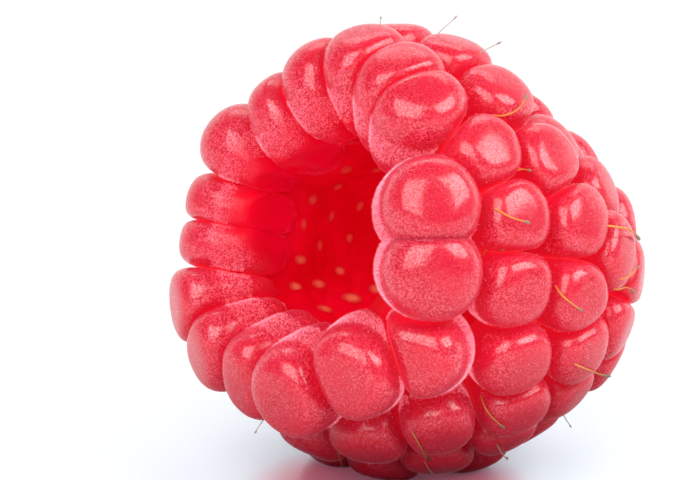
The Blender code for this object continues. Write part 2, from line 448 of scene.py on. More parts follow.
# What the uneven rim adds to the wall's radius: near the mouth the wall follows each rim drupelet
# in or out, by straight steps in the clock between them. Under the rim's crest it draws back.
def rimShape(clock, station):
    order = np.argsort(clockOf[onRim])
    angle, out = clockOf[onRim][order], outOf[onRim][order]
    fade = smooth((flesh["narrowTo"] - station) / (flesh["narrowTo"] - flesh["narrowFrom"]))
    under = np.clip(1 - (station - ribEndAt(clock, 3)) / flesh["hideLength"], 0, 1)
    return np.interp(clock, angle, out, period=2 * math.pi) * fade + under * flesh["lipHide"]


def wallRadiusAt(clock, station):
    share = np.clip((flesh["hollowEnd"] - station) / flesh["endFade"], 0, 1)
    return hollowRadiusAt(station) + share * rimShape(clock, station)


# Clock, station and radius of points.
def aroundAxis(points):
    points = points - crest
    up, aside = points @ upAcross, points @ sideways
    return np.arctan2(aside, up), -(points @ towardsMouth), np.hypot(up, aside)


# Inside the hollow a rim drupelet's skin sinks towards the wall as the station grows, from standing
# out fully to lying just under it. Also gives how much of its skin is the hollow's: a share of 1
# past the stations where it has turned red.
def meltIntoWall(points):
    clock, station, radius = aroundAxis(points)
    wall = wallRadiusAt(clock, np.maximum(station, ribEndAt(clock, 3) + flesh["hideLength"]))
    inside = np.clip(wall - radius, 0, None)
    sinking = smooth((station - ribEndAt(clock, 2)) / flesh["ribLength"] + 1)
    sink = inside * sinking + flesh["endSink"] * sinking * (inside > 0)
    points = points + sink[..., None] * radialAt(clock)
    red = smooth((station - ribEndAt(clock, 1)) / flesh["redLength"] + 0.5)
    return points, red * smooth((wall + flesh["redPast"] - radius) / flesh["redFade"])


ripeSkin = {
    "deep": (0.52, 0.001, 0.019),
    "ripe": (0.60, 0.002, 0.030),
    "low": (0.46, 0.001, 0.022),  # the darker red of the underside, a painted shade
    "bloom": (1.0, 0.15, 0.24),
    "inner": (0.66, 0.001, 0.020),
    # Painted light: a red glow over the skin for light that passes through the flesh, stronger in the
    # creases and where a rim drupelet's skin turns to the hollow's red.
    "glow": (0.09, 0.003, 0.006),
    "paintedCreaseGlow": (0.42, 0.004, 0.014),
    "paintedInnerGlow": (0.22, 0.0, 0.007),
    "bloomShare": 0.85,
    "heights": (0.5, 9.0),  # between which that painted shade of the underside fades
    "lowBloom": 0.3,  # shares of the bloom and of the gloss that the underside keeps in that painted shade
    "lowGloss": 0.3,
    "sheenlessMiddle": 0.58,  # share of the bloom that the middle of a drupelet's front lacks; the paler sides are a painted sheen over the bloom
    "sheenlessMiddleSpan": (0.15, 0.75),  # in quarter turns from the middle
    "patchSize": 1.4,
    "patchSpan": (0.3, 0.7),
    "patchBare": 0.6,  # share of the bloom that a patch can lack
    "patchBareSpan": (0.35, 0.65),
    "speckSize": 0.06,
    "speckSpan": (0.3, 0.95),
    "speckGloss": 0.35,  # least share of the gloss on a speck
    "dullEdge": 0.75,  # share of the gloss that a drupelet's sides lack
    "dullEdgeSpan": (0.55, 1.0),  # in quarter turns
    "bareCrease": (0.1, 0.7),  # depths in a crease between which bloom and gloss fade under its painted glow
    "deepCrease": (0.3, 0.9),
    "glowCrease": (0.25, 0.95),
    "grain": (0.8, 0.010),  # strength, and depth in millimetres, here and in the other materials
}


def ripeSkinMaterial():
    finish = ripeSkin
    material, shader, start = newMaterial(
        "ripeSkin", Roughness=0.4, Specular_IOR_Level=0.15, Subsurface_Weight=0.85,
        Subsurface_Scale=2.4 * mm, Subsurface_Radius=(1.0, 0.02, 0.02), Sheen_Weight=0.55,
        Sheen_Roughness=0.15, Sheen_Tint=(1.0, 0.62, 0.80, 1), Coat_Roughness=0.19, Coat_IOR=1.75,
        Emission_Strength=1.0)
    where = start.node("TexCoord", out=3)
    crease, inner, fall = start.kept("crease"), start.kept("inner"), start.kept("fall")
    patches = where.noise(finish["patchSize"])
    specks = where.cells(finish["speckSize"])
    # Painted shade: below these heights the skin turns a darker red and keeps less bloom, gloss and glow.
    high = where.climb(*finish["heights"])
    bare = (1 - inner) * (1 - crease.ramp(*finish["bareCrease"]))
    ripe = patches.ramp(*finish["patchSpan"]).between(finish["deep"], finish["ripe"])
    # Painted sheen: the bloom, the down's own pale colour, grows paler from a drupelet's middle to its
    # sides.
    bloom = 1 - finish["sheenlessMiddle"] * (1 - fall.ramp(*finish["sheenlessMiddleSpan"]))
    bloom = bloom * (1 - finish["patchBare"] * patches.ramp(*finish["patchBareSpan"]))
    bloom = bloom * (finish["lowBloom"] + (1 - finish["lowBloom"]) * high)
    bloom = bloom * specks.ramp(*finish["speckSpan"]) * bare * finish["bloomShare"]
    colour = bloom.between(high.between(finish["low"], ripe), finish["bloom"])
    # Painted light in a crease: the colour turns deep red and the bloom and gloss fade, under the red
    # glow, for light that shines through the flesh.
    colour = crease.ramp(*finish["deepCrease"]).between(colour, finish["deep"])
    colour = inner.between(colour, finish["inner"])
    # Painted light: the skin's red glow, stronger deep in a crease, none on the underside, and the
    # hollow's glow on the inner ends.
    glow = crease.ramp(*finish["glowCrease"]).between(finish["glow"], finish["paintedCreaseGlow"])
    glow = inner.between(high.between((0, 0, 0), glow), finish["paintedInnerGlow"])
    gloss = finish["lowGloss"] + (1 - finish["lowGloss"]) * high
    gloss = gloss * (finish["speckGloss"] + (1 - finish["speckGloss"]) * specks)
    gloss = gloss * (1 - finish["dullEdge"] * fall.ramp(*finish["dullEdgeSpan"])) * bare
    grain = specks.bump(*finish["grain"])
    feed(shader, Base_Color=colour, Emission_Color=glow, Coat_Weight=gloss, Normal=grain)
    return material


# Drupelets: directions from each middle on a grid of falls from the outer pole and turns round it.
# Each point keeps its fall, in quarter turns, for the bloom's painted sheen towards the sides.
def drupeletPieces(material):
    turns, falls = pillow["turns"], pillow["falls"]
    share = np.arange(falls + 1) / falls
    fall = math.pi * (pillow["evenness"] * share + (1 - pillow["evenness"]) * share**3)
    turn = evenTurns(turns)
    ringFall, ringTurn = np.meshgrid(fall[1:-1], turn, indexing="ij")
    wide = np.sin(ringFall)
    ring = np.stack([wide * np.cos(ringTurn), wide * np.sin(ringTurn), np.cos(ringFall)], -1)
    directions = np.concatenate([[[0, 0, 1.0]], ring.reshape(-1, 3), [[0, 0, -1.0]]])
    quarterTurns = np.arccos(np.clip(directions[:, 2], -1, 1)) / (math.pi / 2)
    for name in rows:
        k = np.flatnonzero(rowOf == name)
        points, normals, crease = skinAt(k, np.broadcast_to(directions, (len(k), *directions.shape)))
        points[..., 2] = np.maximum(points[..., 2], 0)
        inner = 0 * crease
        if name == "rim":
            points, inner = meltIntoWall(points)
        quads, caps = ringFaces(len(k), falls - 1, turns)
        kept = {"crease": crease, "inner": inner, "fall": np.tile(quarterTurns, len(k))}
        dress(addPiece(name + "Drupelets", points, quads, caps, kept), material)


drupeletPieces(ripeSkinMaterial())


# Where each drupelet meets the core: its clock, and its station scaled to the hollow's depth.
lastStation = berry["widestStation"] + berry["tipLength"]
scarStation = flesh["hollowEnd"] * np.clip(stationOf / lastStation, 0, 1) ** flesh["cellBend"]
scarStation = np.maximum(scarStation, flesh["firstCell"])
scarStation[onRim] = stationOf[onRim] + flesh["rimCell"]


hollowSkin = {
    "deep": (0.60, 0.0003, 0.004),
    "bright": (0.70, 0.0005, 0.022),
    # Painted light: the wall glows a faint red, for light that reaches the hollow through the flesh.
    "glow": (0.18, 0.0, 0.003),
    "patchSize": 2.2,
    "patchSpan": (0.3, 0.7),
    "grainSize": 0.25,
    "grain": (0.4, 0.03),
}


def hollowMaterial():
    finish = hollowSkin
    # Its constant emission is the wall's painted glow.
    material, shader, start = newMaterial(
        "hollowSkin", Roughness=0.5, Specular_IOR_Level=0.12, Subsurface_Weight=0.6,
        Subsurface_Scale=1.5 * mm, Subsurface_Radius=(1.0, 0.06, 0.06),
        Emission_Color=(*finish["glow"], 1), Emission_Strength=1.0)
    where = start.node("TexCoord", out=3)
    patches = where.noise(finish["patchSize"]).ramp(*finish["patchSpan"])
    grain = where.noise(finish["grainSize"]).bump(*finish["grain"])
    feed(shader, Base_Color=patches.between(finish["deep"], finish["bright"]), Normal=grain)
    return material


# The flesh is a half section turned round the axis: from the tip up its outside, over the lip, and
# down the hollow. The hollow's wall rises in a low dome for each drupelet, by the gap between the
# distances to the nearest and the second nearest of the points where they meet the core.
def fleshPiece(material):
    lip = flesh["lipStation"]
    outer = np.linspace(0, 1, flesh["outerSteps"] + 1)
    outer = np.sin(outer * math.pi / 2) ** flesh["outerRound"]
    outerStation = lastStation - (lastStation - lip) * outer
    outerStation[0] = lastStation - flesh["depth"]
    outerRadius = np.clip(rowRadius(outerStation) - flesh["depth"], 0, None)
    inner = np.linspace(0, 1, flesh["innerSteps"] + 1)
    innerStation = lip + (flesh["hollowEnd"] - lip) * np.sin(inner * math.pi / 2)
    station = np.append(outerStation, innerStation)
    radius = np.append(outerRadius, hollowRadiusAt(innerStation))[1:-1, None]
    inHollow = np.append(0 * outer, np.minimum(1, inner * flesh["settling"]))[1:-1, None]
    ringStation, ringTurn = np.meshgrid(station[1:-1], evenTurns(flesh["turns"]), indexing="ij")
    ringStation = unevenLip(ringTurn, ringStation)
    plain = hollowRadiusAt(ringStation)
    ringRadius = np.where(inHollow > 0, plain, radius)
    ringRadius += inHollow * (wallRadiusAt(ringTurn, ringStation) - plain)
    points = placeAt(ringTurn, ringStation, ringRadius)
    scars = placeAt(clockOf, scarStation, wallRadiusAt(clockOf, scarStation))
    gaps = np.linalg.norm(points[:, :, None] - scars, axis=3)
    gaps.partition(1, axis=2)
    crease = np.exp(-(((gaps[..., 1] - gaps[..., 0]) / flesh["creaseWidth"]) ** 2))
    points += (flesh["cellRelief"] * crease * inHollow)[..., None] * radialAt(ringTurn)
    ends = placeAt(np.zeros(2), station[[0, -1]], np.zeros(2))
    points = np.concatenate([ends[:1], points.reshape(-1, 3), ends[1:]])
    points[:, 2] = np.maximum(points[:, 2], 0)
    quads, caps = ringFaces(1, len(station) - 2, flesh["turns"])
    return dress(addPiece("hollowFlesh", points, quads, caps), material)


hollowFlesh = fleshPiece(hollowMaterial())


# The camera, and the photo's pixels as rays from it.
view = {
    "azimuth": math.radians(47),
    "elevation": math.radians(12),
    "distance": 93.1,
    "lens": 100,
    "sensor": 36,
    "target": (1.87, -6.35, 13.12),
    "frame": (700, 480),
    "clip": (5, 10000),
}


# The direction from the berry to a camera or light at these angles.
def towardsViewer(azimuth, elevation):
    level = math.cos(elevation)
    return np.array([math.sin(azimuth) * level, -math.cos(azimuth) * level, math.sin(elevation)])


viewBack = towardsViewer(view["azimuth"], view["elevation"])
viewRight = np.array([math.cos(view["azimuth"]), math.sin(view["azimuth"]), 0])
viewUp = np.cross(viewBack, viewRight)
eye = np.array(view["target"]) + view["distance"] * viewBack


# A camera or light at a place, turned to look against a direction.
def aim(data, place, back):
    thing = bpy.data.objects.new(data.name, data)
    thing.location = Vector(place) * mm
    thing.rotation_mode = "QUATERNION"
    thing.rotation_quaternion = Vector(-back).to_track_quat("-Z", "Y")
    bpy.context.scene.collection.objects.link(thing)
    return thing


def addCamera():
    data = bpy.data.cameras.new("camera")
    data.lens, data.sensor_width = view["lens"], view["sensor"]
    data.clip_start, data.clip_end = (edge * mm for edge in view["clip"])
    bpy.context.scene.camera = aim(data, eye, viewBack)


addCamera()


# A ray through a pixel of the photo's frame.
def pixelRay(x, y):
    wide, high = view["frame"]
    focal = view["lens"] / view["sensor"] * wide
    return unit((x - wide / 2) * viewRight + (high / 2 - y) * viewUp - focal * viewBack)


def pickTree(mesh):
    faces = [list(face.vertices) for face in mesh.polygons]
    return BVHTree.FromPolygons([vertex.co for vertex in mesh.vertices], faces)


# Where a ray from the eye meets a mesh, and the normal there, or none where it misses.
def pick(tree, ray):
    hit, normal = tree.ray_cast(Vector(eye) * mm, Vector(ray))[:2]
    return None if hit is None else (np.array(hit) / mm, np.array(normal))


# The pale spot that each drupelet leaves where it parted from the core.
scar = {
    "halfWidth": 0.29,  # round the axis
    "halfHeight": 0.38,  # along it
    "usualPale": 0.6,
    "rise": 0.05,
    "dimple": 0.55,  # share of the rise that its middle has
    "sink": 0.10,
    "uneven": 0.12,
    "firstPastLip": 2.4,  # where along the axis the hidden ones start and end
    "lastBeforeEnd": 0.4,
    "clearance": 1.3,  # of a hidden one from those that show
    "facing": -0.35,  # the least that a hidden one's side turns to the camera
    "turns": 16,
    "rings": 7,
    "seed": 11,
    "pale": (0.72, 0.26, 0.14),
    "red": (0.52, 0.01, 0.015),
    # Painted light: the scars glow faintly.
    "glow": (0.16, 0.006, 0.006),
    "frayed": 0.5,
    "frayedSize": 0.15,
    "paleSpan": (0.5, 1.2),
    "grainSize": 0.08,
    "grain": (0.7, 0.03),
}
# Middle and half width of each scar that shows, in pixels of the photo's frame, and how pale it is: its
# own pale colour, made fainter on the upper ones, which get less light, as painted shade.
shownScars = [
    (301, 260, 7, 1.0), (296, 287, 8, 1.0), (319, 284, 7, 0.9), (340, 271, 7, 0.9), (351, 299, 10, 1.0),
    (325, 309, 8, 0.8), (320, 246, 3.5, 0.5), (349, 238, 3.5, 0.4), (303, 224, 3, 0.35),
    (331, 216, 3, 0.35), (360, 206, 4, 0.4), (313, 200, 4.5, 0.45), (338, 187, 4, 0.45),
    (347, 170, 5, 0.35), (375, 289, 6, 0.7),
]


# Clock, station, half length and paleness of the scars: those that show are where their pixels' rays
# meet the wall, and the rest are where their drupelets meet the core.
def scarPlaces():
    wall = pickTree(hollowFlesh.data)
    x, y, halfs, pales = np.array(shownScars).T
    shown = np.array([pick(wall, pixelRay(*pixel))[0] for pixel in zip(x, y)])
    perPixel = view["distance"] * view["sensor"] / (view["lens"] * view["frame"][0])
    halfs *= perPixel / np.linalg.norm(towardsMouth - (towardsMouth @ viewBack) * viewBack)
    middle = placeAt(clockOf, scarStation, wallRadiusAt(clockOf, scarStation))
    use = np.linalg.norm(middle[:, None] - shown, axis=2).min(1) > scar["clearance"]
    use &= (radialAt(clockOf) * viewBack).sum(1) > scar["facing"]
    use &= scarStation > flesh["lipStation"] + scar["firstPastLip"]
    use &= scarStation < flesh["hollowEnd"] - scar["lastBeforeEnd"]
    clock, station, radius = aroundAxis(shown)
    usual = np.ones(use.sum())
    return (np.concatenate([clock, clockOf[use]]), np.concatenate([station, scarStation[use]]),
            np.concatenate([halfs, usual * scar["halfHeight"]]),
            np.concatenate([pales, usual * scar["usualPale"]]))


def scarMaterial():
    # Its constant emission is the scars' painted glow.
    material, shader, start = newMaterial(
        "coreScar", Roughness=0.55, Subsurface_Weight=0.4, Subsurface_Scale=0.5 * mm,
        Subsurface_Radius=(1.0, 0.4, 0.2), Emission_Color=(*scar["glow"], 1), Emission_Strength=1.0)
    where = start.node("TexCoord", out=3)
    edge = start.kept("edge") + where.noise(scar["frayedSize"]) * scar["frayed"]
    pale = (1 - edge.ramp(*scar["paleSpan"])) * start.kept("pale")
    grain = where.noise(scar["grainSize"]).bump(*scar["grain"])
    feed(shader, Base_Color=pale.between(scar["red"], scar["pale"]), Normal=grain)
    return material


# A scar is an oval on the wall: over the oval its height is rise times (1 - share^2)(dimple +
# share^2), a low dome with a dimple, and under it the back sinks into the wall.
def scarPieces(material, step=0.02):
    turns, rings = scar["turns"], scar["rings"]
    draw = np.random.default_rng(scar["seed"])
    clock, station, half, pale = scarPlaces()
    middle = placeAt(clock, station, wallRadiusAt(clock, station))
    down = unit(placeAt(clock, station + step, wallRadiusAt(clock, station + step)) - middle)
    around = unit(placeAt(clock + step, station, wallRadiusAt(clock + step, station)) - middle)
    inward = np.cross(down, around)
    scale = draw.uniform(1 - scar["uneven"], 1 + scar["uneven"], (len(clock), 2))
    share = np.sin(np.linspace(0, math.pi, rings + 2))[1:-1]
    front = np.arange(rings) < rings / 2
    dome = scar["rise"] * (1 - share**2) * (scar["dimple"] + share**2)
    height = np.where(front, dome, -scar["sink"] * (1 - share**2) ** 0.5)
    turn = evenTurns(turns)
    across = around * scar["halfWidth"] * scale[:, :1]
    along = down * half[:, None] * scale[:, 1:]
    ring = middle[:, None, None] + height[:, None, None] * inward[:, None, None]
    ring = ring + (share[:, None] * np.cos(turn))[..., None] * across[:, None, None]
    ring = ring + (share[:, None] * np.sin(turn))[..., None] * along[:, None, None]
    ends = np.array([scar["dimple"] * scar["rise"], -scar["sink"]])
    poles = middle[:, None] + inward[:, None] * ends[:, None]
    points = np.concatenate([poles[:, :1], ring.reshape(len(clock), -1, 3), poles[:, 1:]], 1)
    edge = np.concatenate([[0], np.repeat(share, turns), [1]])
    # The oval's turns run clockwise as seen from the hollow, so its faces are reversed.
    quads, caps = (faces[:, ::-1] for faces in ringFaces(len(clock), rings, turns))
    kept = {"edge": np.tile(edge, len(clock)), "pale": np.repeat(pale, len(edge))}
    dress(addPiece("coreScars", points, quads, caps, kept), material)


scarPieces(scarMaterial())


# Dried styles: thin threads out of the creases, with a knob at the end.
style = {
    "radius": 0.05,
    "taper": 0.35,
    "knob": 0.055,
    "knobAt": 0.97,
    "knobLength": 0.05,
    "tip": 0.05,
    "steps": 16,
    "endSteps": (0.955, 0.975, 0.99, 1.0),
    "endAt": 1.02,  # where the rounding of the end would close, its length and its least share
    "endRound": 0.03,
    "endLeast": 0.35,
    "sides": 8,
    "sideLean": 0.3,  # the tube's sides are set out from a direction well off every line
    "root": 0.4,  # how far the root is sunk under the skin
    "rootPart": 6,  # one sixth of the line comes up out of it
    "liftAtRoot": 0.35,  # share of its lift that a style which shows has there
    "longest": 3.8,
    "leastDeep": 0.1,  # least share of its square that a long one goes away from the camera
    "overFloor": 0.02,
    "unseen": 36,  # how many are tried where the photo doesn't show them
    "unseenFacing": 0.05,  # the most that such a drupelet faces the camera
    "unseenLowest": -0.55,  # the most that it faces down
    "seed": 21,
    "lift": 0.55,
    "tipLift": (0.3, 1.3),  # least and most share of that lift at the tip
    "rootFall": (64, 74),  # degrees from a drupelet's outer pole to the root, the bend and the tip
    "bendFall": (24, 34),
    "tipFall": (-28, -8),
    "stem": (0.78, 0.30, 0.05),
    "stemDark": (0.40, 0.17, 0.05),
    "knobColour": (0.34, 0.20, 0.13),
    "lowStem": (0.30, 0.10, 0.03),  # darker and browner near the floor
    "lowKnob": (0.10, 0.05, 0.035),
    "heights": (2.0, 9.0),
    "dry": (0.42, 0.36, 0.33),  # the thinnest ones
    "dryUnder": 0.85,  # share of full thickness where the dry colour starts, and its fade
    "dryFade": 0.3,
    "dryFrom": 0.4,  # share of its length over which the dry colour sets in
    "darkWay": 0.6,  # what the way to the tip and the streaks each add to a stem's darkness
    "darkStreak": 0.5,
    "streakSize": 0.3,
    "darkSpan": (0.5, 1.0),
    "knobSpan": (0.9, 0.95),
    "grainSize": 0.06,
    "grain": (0.5, 0.02),
}
# Root and tip of each style that shows, in pixels of the photo's frame, how far it bows aside, as a
# share of its length, how far it stands off the skin in millimetres, and its share of full thickness.
shownStyles = [
    (487, 203, 525, 223, 0.12, 0.4, 1.0), (488, 116, 520, 98, 0.4, 0.45, 1.0),
    (431, 38, 457, 16, 0.04, 0.2, 0.5), (466, 63, 501, 42, -0.06, 0.2, 0.6),
    (553, 281, 579, 307, 0.2, 0.4, 1.0), (559, 356, 605, 371, 0.06, 0.4, 1.0),
    (603, 226, 634, 238, -0.08, 0.4, 1.1), (606, 286, 630, 289, -0.1, 0.35, 0.9),
    (614, 281, 631, 264, 0.1, 0.4, 0.9), (480, 391, 504, 424, 0.15, 0.3, 1.0),
    (402, 413, 430, 458, -0.1, 0.35, 1.0), (334, 440, 344, 467, 0.05, 0.3, 0.9),
    (268, 414, 255, 433, 0.05, 0.2, 0.6), (420, 452, 433, 471, 0.0, 0.2, 0.8),
    (497, 446, 507, 457, 0.0, 0.2, 0.7), (560, 410, 571, 427, 0.0, 0.2, 0.6),
    (508, 169, 532, 169, 0.05, 0.3, 0.9), (480, 254, 504, 254, -0.1, 0.3, 0.9),
    (379, 31, 381, 17, 0.0, 0.2, 0.6),
]


def styleMaterial():
    material, shader, start = newMaterial("driedStyle", Roughness=0.5, Subsurface_Weight=0.2,
                                          Subsurface_Scale=0.1 * mm)
    where = start.node("TexCoord", out=3)
    way, high = start.kept("way"), where.climb(*style["heights"])
    dark = way * style["darkWay"] + where.noise(style["streakSize"]) * style["darkStreak"]
    dark = dark.ramp(*style["darkSpan"])
    stem = high.between(style["lowStem"], dark.between(style["stem"], style["stemDark"]))
    knob = high.between(style["lowKnob"], style["knobColour"])
    colour = start.kept("thin").between(way.ramp(*style["knobSpan"]).between(stem, knob), style["dry"])
    feed(shader, Base_Color=colour, Normal=where.noise(style["grainSize"]).bump(*style["grain"]))
    return material


# Whether a mesh hides every point of a line from the camera.
def hidden(tree, line):
    hits = [pick(tree, ray) for ray in unit(line - eye)]
    return all(hit and np.linalg.norm(hit[0] - eye) <= away
               for hit, away in zip(hits, np.linalg.norm(line - eye, axis=1)))


# Weights of root, middle and tip on a bent line: (1-t)^2, 2t(1-t) and t^2.
def bent(t):
    return np.stack([(1 - t) ** 2, 2 * t * (1 - t), t**2], 1)


# The line of each style that shows: points along a bowed line of pixels, each where its ray meets the
# solid and lifted off it, from under the skin at the root; past the berry, as far away as the last.
def shownLines(solid, t):
    lines = []
    for *ends, bow, lift, _ in shownStyles:
        root, tip = np.reshape(ends, (2, 2))
        middle = (root + tip) / 2 + bow * np.array([root[1] - tip[1], tip[0] - root[0]])
        line = []
        for (x, y), share in zip(bent(t) @ np.array([root, middle, tip]), t):
            ray = pixelRay(x, y)
            hit = pick(solid, ray)
            rise = lift * min(1, style["liftAtRoot"] + share)
            rise -= style["root"] * max(0, 1 - share * style["rootPart"])
            line.append(eye + ray * away if hit is None else hit[0] + hit[1] * rise)
            away = np.linalg.norm(line[-1] - eye)
        lines.append(shortened(smoothLine(np.array(line))))
    return lines


# A line with each inner point drawn towards the middle of its neighbours, many times over.
def smoothLine(line, rounds=12):
    for _ in range(rounds):
        line[1:-1] = line[1:-1] / 2 + (line[:-2] + line[2:]) / 4
    return line


# A line that would be too long, where the skin falls away from the camera, is drawn nearer.
def shortened(line):
    rays = line - eye
    away = np.linalg.norm(rays, axis=1)
    acrossLength = np.linalg.norm(np.diff(unit(rays), axis=0), axis=1).sum() * away[0]
    longest = style["longest"] ** 2
    limit = math.sqrt(max(longest - acrossLength**2, longest * style["leastDeep"]))
    share = min(1, limit / np.ptp(away))
    return eye + unit(rays) * (away[0] + (away - away[0]) * share)[:, None]


# On the sides that don't show, a style leaves the crease beside a drupelet and bends over it. Those
# that the photo would show are left out.
def farLines(solid, t):
    draw = np.random.default_rng(style["seed"])
    unseen = ~onRim & ((outwardOf * viewBack).sum(1) < style["unseenFacing"])
    unseen = np.flatnonzero(unseen & (outwardOf[:, 2] > style["unseenLowest"]))
    lines = []
    for k in draw.permutation(unseen)[: style["unseen"]]:
        turn = draw.uniform(0, 2 * math.pi)
        falls = np.radians([draw.uniform(*style[key]) for key in ("rootFall", "bendFall", "tipFall")])
        wide = np.sin(falls)
        local = np.stack([wide * math.cos(turn), wide * math.sin(turn), np.cos(falls)], -1)
        points, normals, crease = skinAt(np.array([k]), local[None])
        tipLift = style["lift"] * draw.uniform(*style["tipLift"])
        heights = np.array([-style["root"], style["lift"], tipLift])
        line = bent(t) @ (points[0] + normals[0] * heights[:, None])
        if hidden(solid, line):
            lines.append(line)
    return lines


# A style is a round tube on its line. Its radius tapers along the line and swells near the end by a
# bell curve for the knob. The thinner ones turn dry from the root on.
def stylePieces(material):
    t = np.linspace(0, 1, style["steps"])[:-1]
    t = np.unique(np.round(np.concatenate([t, style["endSteps"]]), 4))
    solid = pickTree(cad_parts["berry"].data)
    far = farLines(solid, t)
    line = np.array(shownLines(solid, t) + far)
    thickness = np.array([row[-1] for row in shownStyles] + [1.0] * len(far))
    tangent = unit(np.gradient(line, axis=1))
    side = unit(np.cross(tangent, viewUp + style["sideLean"] * viewRight))
    other = np.cross(tangent, side)
    swell = np.exp(-(((t - style["knobAt"]) / style["knobLength"]) ** 2) * 2)
    radius = style["radius"] * (1 - style["taper"] * t) + style["knob"] * swell
    radius *= np.clip((style["endAt"] - t) / style["endRound"], style["endLeast"], 1) ** 0.5
    turn = -evenTurns(style["sides"])
    ring = np.cos(turn)[:, None] * side[:, :, None] + np.sin(turn)[:, None] * other[:, :, None]
    ring = line[:, :, None] + ring * radius[:, None, None] * thickness[:, None, None, None]
    tips = line[:, -1] + tangent[:, -1] * style["tip"]
    points = np.concatenate([line[:, :1], ring.reshape(len(line), -1, 3), tips[:, None]], 1)
    points[..., 2] = np.maximum(points[..., 2], style["overFloor"])
    way = np.concatenate([[0], np.repeat(t, style["sides"]), [1]])
    quads, caps = ringFaces(len(line), len(t), style["sides"])
    thin = np.clip((style["dryUnder"] - thickness) / style["dryFade"], 0, 1)[:, None]
    thin = thin * np.clip(way / style["dryFrom"], 0, 1)
    kept = {"way": np.tile(way, len(line)), "thin": thin}
    dress(addPiece("driedStyles", points, quads, caps, kept), material)


stylePieces(styleMaterial())


# The down: short straight hairs, each a closed three-sided spike.
down = {
    "perPiece": 42000,
    "pieces": 4,
    "tries": 8,  # roots drawn for each hair that is asked for
    "length": (0.05, 0.13),
    "radius": 0.006,
    "sunk": 0.02,
    "lean": math.radians(26),
    "leastLean": 0.05,  # share of that lean, squared
    "fewInMiddle": 0.985,  # share left out on the middle of a drupelet's front
    "middleFrom": 0.25,  # cosine of the fall where that middle starts, and over what it sets in
    "middleFade": 0.5,
    "fewBelow": 6.0,  # under this height there are fewer and fewer
    "overFloor": 0.03,
    "fallLimit": math.radians(112),
    "creaseLimit": 0.55,
    "innerLimit": 0.5,  # share of the hollow's red on the rim's skin where none are left
    "overlap": 0.03,  # past the plane halfway to a neighbour
    "seed": 33,
    "rootColour": (0.90, 0.07, 0.13),
    "tipColour": (1.0, 0.46, 0.56),
    "paleUp": 0.8,  # what the ways up and across a hair's map each add to its paleness
    "paleAcross": 0.3,
    "paleSpan": (0.0, 0.8),
    "lowGlow": (0.42, 0.11, 0.17),
    "glow": (0.68, 0.24, 0.32),  # painted light: the hairs glow as if light passed through them
    "heights": (1.0, 9.0),  # between which that painted glow changes; it is dimmer low down, a painted shade
    "mapName": "OFBake",
    "strips": 8,  # of that map, each with its own shade
}


def downMaterial():
    material, shader, start = newMaterial(
        "down", Roughness=0.6, Specular_IOR_Level=0.1, Sheen_Weight=0.3, Sheen_Tint=(1, 0.85, 0.9, 1),
        Emission_Strength=1.0)
    spot = start.node("UVMap", {"uv_map": down["mapName"]})
    pale = spot.axis(1) * down["paleUp"] + spot.axis(0) * down["paleAcross"]
    pale = pale.ramp(*down["paleSpan"])
    high = start.node("TexCoord", out=3).climb(*down["heights"])
    # Painted light: the hairs glow, less near the floor.
    feed(shader, Base_Color=pale.between(down["rootColour"], down["tipColour"]),
         Emission_Color=high.between(down["lowGlow"], down["glow"]))
    return material


